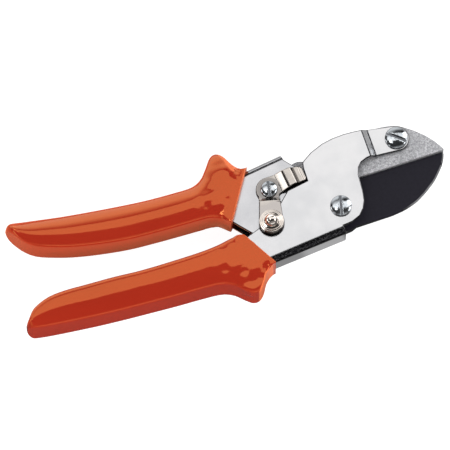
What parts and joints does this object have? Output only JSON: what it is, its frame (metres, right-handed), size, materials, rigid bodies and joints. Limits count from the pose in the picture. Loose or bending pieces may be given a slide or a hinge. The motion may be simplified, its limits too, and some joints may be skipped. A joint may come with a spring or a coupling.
{
  "type": "anvil pruning shears",
  "caption": "Anvil pruning shears: pressed steel levers crossed at a pivot, black blade closing on a cast anvil, orange dipped grips, swinging latch and return spring",
  "frame": {"origin": "on the pivot's axis at the flat end of the pivot screw, flush with its nut on the back", "axes": "+X to the cutting tip along the anvil's face, +Y to the anvil side, +Z along the pivot's axis to the latch side"},
  "size_m": [0.2099, 0.0695, 0.0241],
  "materials": {
    "polished_steel": "pressed sheet steel, polished and plated",
    "zinc_plate": "zinc plated steel",
    "nickel_plate": "warm nickel plate",
    "black_coating": "matt black non-stick coating over hardened steel, bare at the cutting edge",
    "blasted_casting": "blasted casting, fine grey speckle",
    "bush_bronze": "plain bearing bronze",
    "spring_steel": "drawn spring wire",
    "orange_vinyl": "glossy dipped vinyl"
  },
  "bodies": {
    "anvil_side": {"anvil_lever": "polished_steel", "anvil": "blasted_casting", "anvil_screw": "zinc_plate", "anvil_nut": "zinc_plate", "anvil_lever_grip": "orange_vinyl", "pivot_screw": "zinc_plate", "pivot_nut": "zinc_plate", "pivot_washer_front": "zinc_plate", "pivot_washer_rear": "zinc_plate", "return_spring": "spring_steel", "spring_stud": "zinc_plate"},
    "blade_side": {"blade_lever": "polished_steel", "blade": "black_coating", "blade_lever_grip": "orange_vinyl", "pivot_bush": "bush_bronze", "blade_spacer_front": "zinc_plate", "blade_spacer_rear": "zinc_plate", "blade_rivet": "zinc_plate", "latch_screw": "zinc_plate", "latch_nut": "zinc_plate"},
    "latch": {"latch": "nickel_plate", "latch_knob": "nickel_plate"}
  },
  "joints": [
    {"name": "handle_opening", "type": "hinge", "parent": "anvil_side", "child": "blade_side", "pos_m": [0, 0, 0], "axis": [0, 0, -1], "range_deg": [0, 26], "deforming": ["return_spring"]},
    {"name": "latch_swing", "type": "hinge", "parent": "blade_side", "child": "latch", "pos_m": [-0.0287, 0.0185, 0], "axis": [0, 0, 1], "range_deg": [0, 52]}
  ],
  "couplings": [
    {"joint": "latch_swing", "follows": "handle_opening", "ratio": 2}
  ]
}
